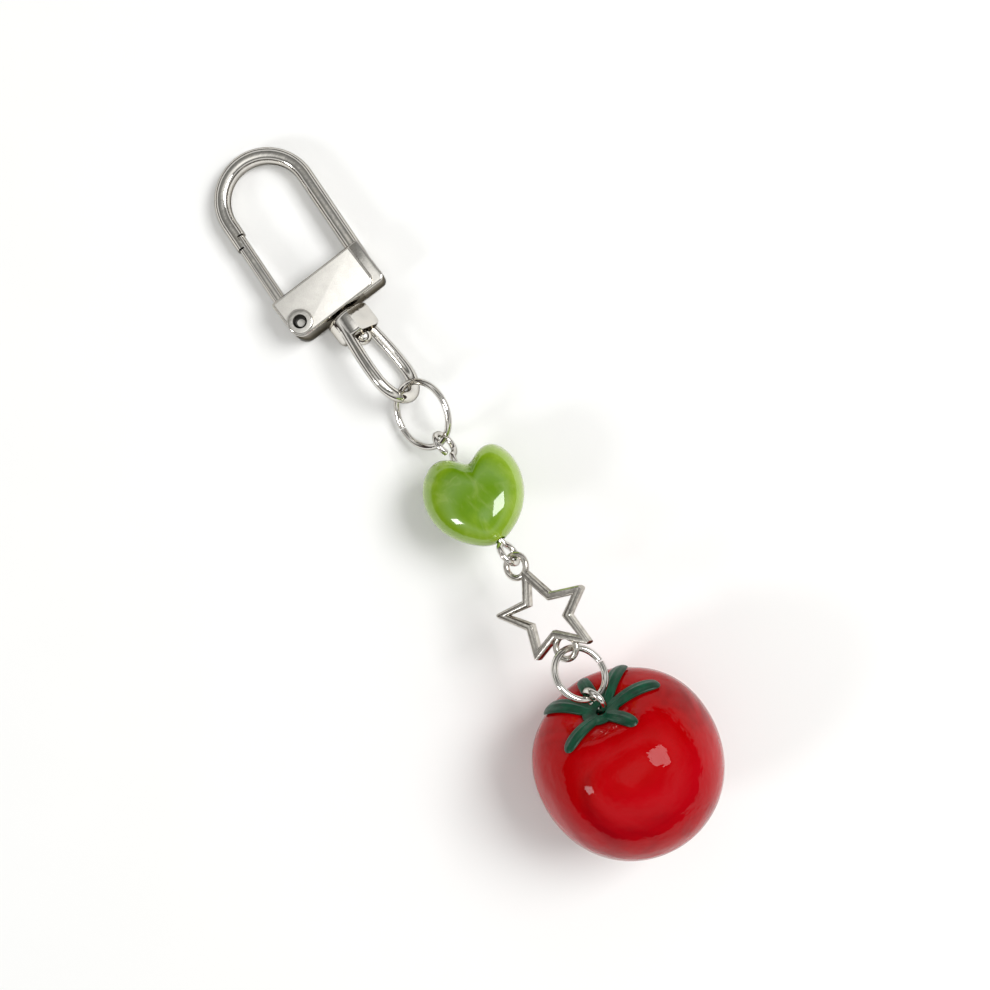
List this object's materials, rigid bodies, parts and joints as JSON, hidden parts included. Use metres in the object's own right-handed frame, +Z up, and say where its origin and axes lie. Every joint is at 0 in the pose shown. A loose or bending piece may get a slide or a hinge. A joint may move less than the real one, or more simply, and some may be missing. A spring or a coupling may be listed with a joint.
{
  "type": "tomato bag charm",
  "caption": "Bag charm: a swivel snap hook with a sprung gate, jump rings, a glazed heart bead on an eye pin, an open star link and a glossy tomato on a screw eye.",
  "frame": {"origin": "middle of the bounding box's underside, on the surface that the charm lies on", "axes": "+X from the hook's bow along the chain to the tomato, +Z up from the surface, +Y completes a right-handed frame"},
  "size_m": [0.1178, 0.0268, 0.027],
  "materials": {
    "plated_metal": "polished warm silver plating on zinc alloy and wire",
    "cast_star_metal": "tumbled, slightly dull silver plating on a casting",
    "spring_steel": "drawn spring wire",
    "green_pearl_glaze": "green pearl glaze, glossy",
    "tomato_red": "glossy red lacquer over moulded resin",
    "calyx_green": "satin dark green"
  },
  "bodies": {
    "hook": {"hook_body": "plated_metal", "gate_rivet": "plated_metal", "gate_spring": "spring_steel"},
    "gate": {"gate": "plated_metal"},
    "swivel": {"swivel_eye": "plated_metal", "swivel_post": "plated_metal"},
    "upper_ring": {"upper_jump_ring": "plated_metal"},
    "pin": {"eye_pin": "plated_metal"},
    "bead": {"heart_bead": "green_pearl_glaze"},
    "star": {"star_link": "cast_star_metal"},
    "lower_ring": {"lower_jump_ring": "plated_metal"},
    "tomato": {"screw_eye": "plated_metal", "tomato_body": "tomato_red", "calyx": "calyx_green"}
  },
  "joints": [
    {"name": "gate_hinge", "type": "hinge", "parent": "hook", "child": "gate", "pos_m": [-0.03253, -0.00522, 0.00355], "axis": [0.0655, 0.0052, -0.9978], "range_deg": [0, 30], "stiffness_Nm_per_rad": 0.001, "springref_deg": -11.46, "deforming": ["gate_spring"]},
    {"name": "swivel_spin", "type": "hinge", "parent": "hook", "child": "swivel", "pos_m": [-0.03091, 0.00085, 0.00369], "axis": [0.9948, 0.0783, 0.0657], "continuous": true},
    {"name": "upper_ring_swing", "type": "hinge", "parent": "swivel", "child": "upper_ring", "pos_m": [-0.01519, 0.00208, 0.00473], "axis": [0.0105, 0.5617, -0.8272], "range_deg": [-40, 40]},
    {"name": "eye_pin_swing", "type": "hinge", "parent": "upper_ring", "child": "pin", "pos_m": [-0.00703, 0.00269, 0.00628], "axis": [-0.195, 0.7205, 0.6655], "range_deg": [-40, 40]},
    {"name": "bead_spin", "type": "hinge", "parent": "pin", "child": "bead", "pos_m": [0.00332, 0.00224, 0.01004], "axis": [0.9393, -0.041, 0.3407], "continuous": true},
    {"name": "star_swing", "type": "hinge", "parent": "pin", "child": "star", "pos_m": [0.01328, 0.00181, 0.01365], "axis": [0.321, 0.4559, -0.8301], "range_deg": [-40, 40]},
    {"name": "lower_ring_swing", "type": "hinge", "parent": "star", "child": "lower_ring", "pos_m": [0.02818, 0.00155, 0.01905], "axis": [-0.1552, 0.8689, 0.4701], "range_deg": [-40, 35]},
    {"name": "drop_swing", "type": "hinge", "parent": "lower_ring", "child": "tomato", "pos_m": [0.03429, 0.00099, 0.0206], "axis": [0.1745, 0.8269, -0.5347], "range_deg": [-40, 35]}
  ]
}
